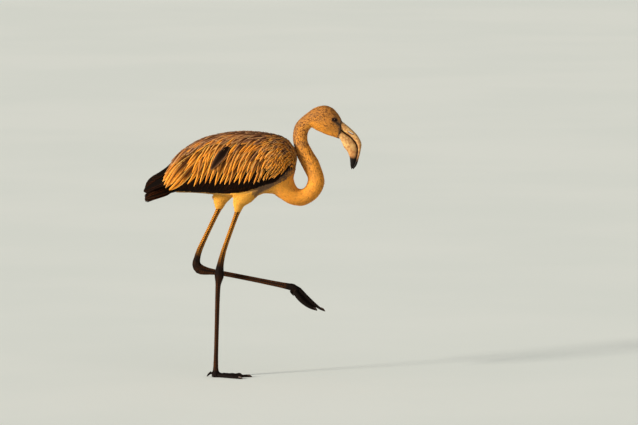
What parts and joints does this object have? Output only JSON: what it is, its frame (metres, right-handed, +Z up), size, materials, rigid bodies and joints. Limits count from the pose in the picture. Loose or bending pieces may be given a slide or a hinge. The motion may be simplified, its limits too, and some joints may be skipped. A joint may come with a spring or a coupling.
{
  "type": "greater flamingo",
  "caption": "Immature greater flamingo as a still, life-size model, wading with a foot lifted forward and the neck held in an S.",
  "frame": {"origin": "on the floor, at the middle of the sole under the ankle of the foot the bird stands on", "axes": "+X to the bird's front, +Y to its left, +Z up; Y = 0 is the middle plane of the body"},
  "size_m": [0.5454, 0.1484, 0.6825],
  "materials": {
    "plumage": "short soft orange-buff feathers over flesh",
    "wing": "folded wing of brown feathers with pale edges",
    "flight": "black-brown flight feathers",
    "bill": "horn, pale with a black tip",
    "leg": "scaly skin, brown, with dark joints and feet",
    "eye": "dark, wet gloss"
  },
  "bodies": {
    "root": {"trunk": "plumage", "neck_lower": "plumage", "neck_middle": "plumage", "neck_upper": "plumage", "head": "plumage", "thigh_right": "plumage", "thigh_left": "plumage", "wing_right": "wing", "wing_left": "wing", "primaries_right": "flight", "primaries_left": "flight", "tail": "flight", "bill_upper": "bill", "bill_lower": "bill", "eye_right": "eye", "eye_left": "eye", "shank_right": "leg", "shank_left": "leg", "hock_right": "leg", "hock_left": "leg", "tarsus_right": "leg", "tarsus_left": "leg", "foot_pad_right": "leg", "foot_pad_left": "leg", "toe_inner_right": "leg", "toe_middle_right": "leg", "toe_outer_right": "leg", "toe_hind_right": "leg", "toe_inner_left": "leg", "toe_middle_left": "leg", "toe_outer_left": "leg", "toe_hind_left": "leg", "web_inner_right": "leg", "web_outer_right": "leg", "web_inner_left": "leg", "web_outer_left": "leg"}
  },
  "joints": []
}
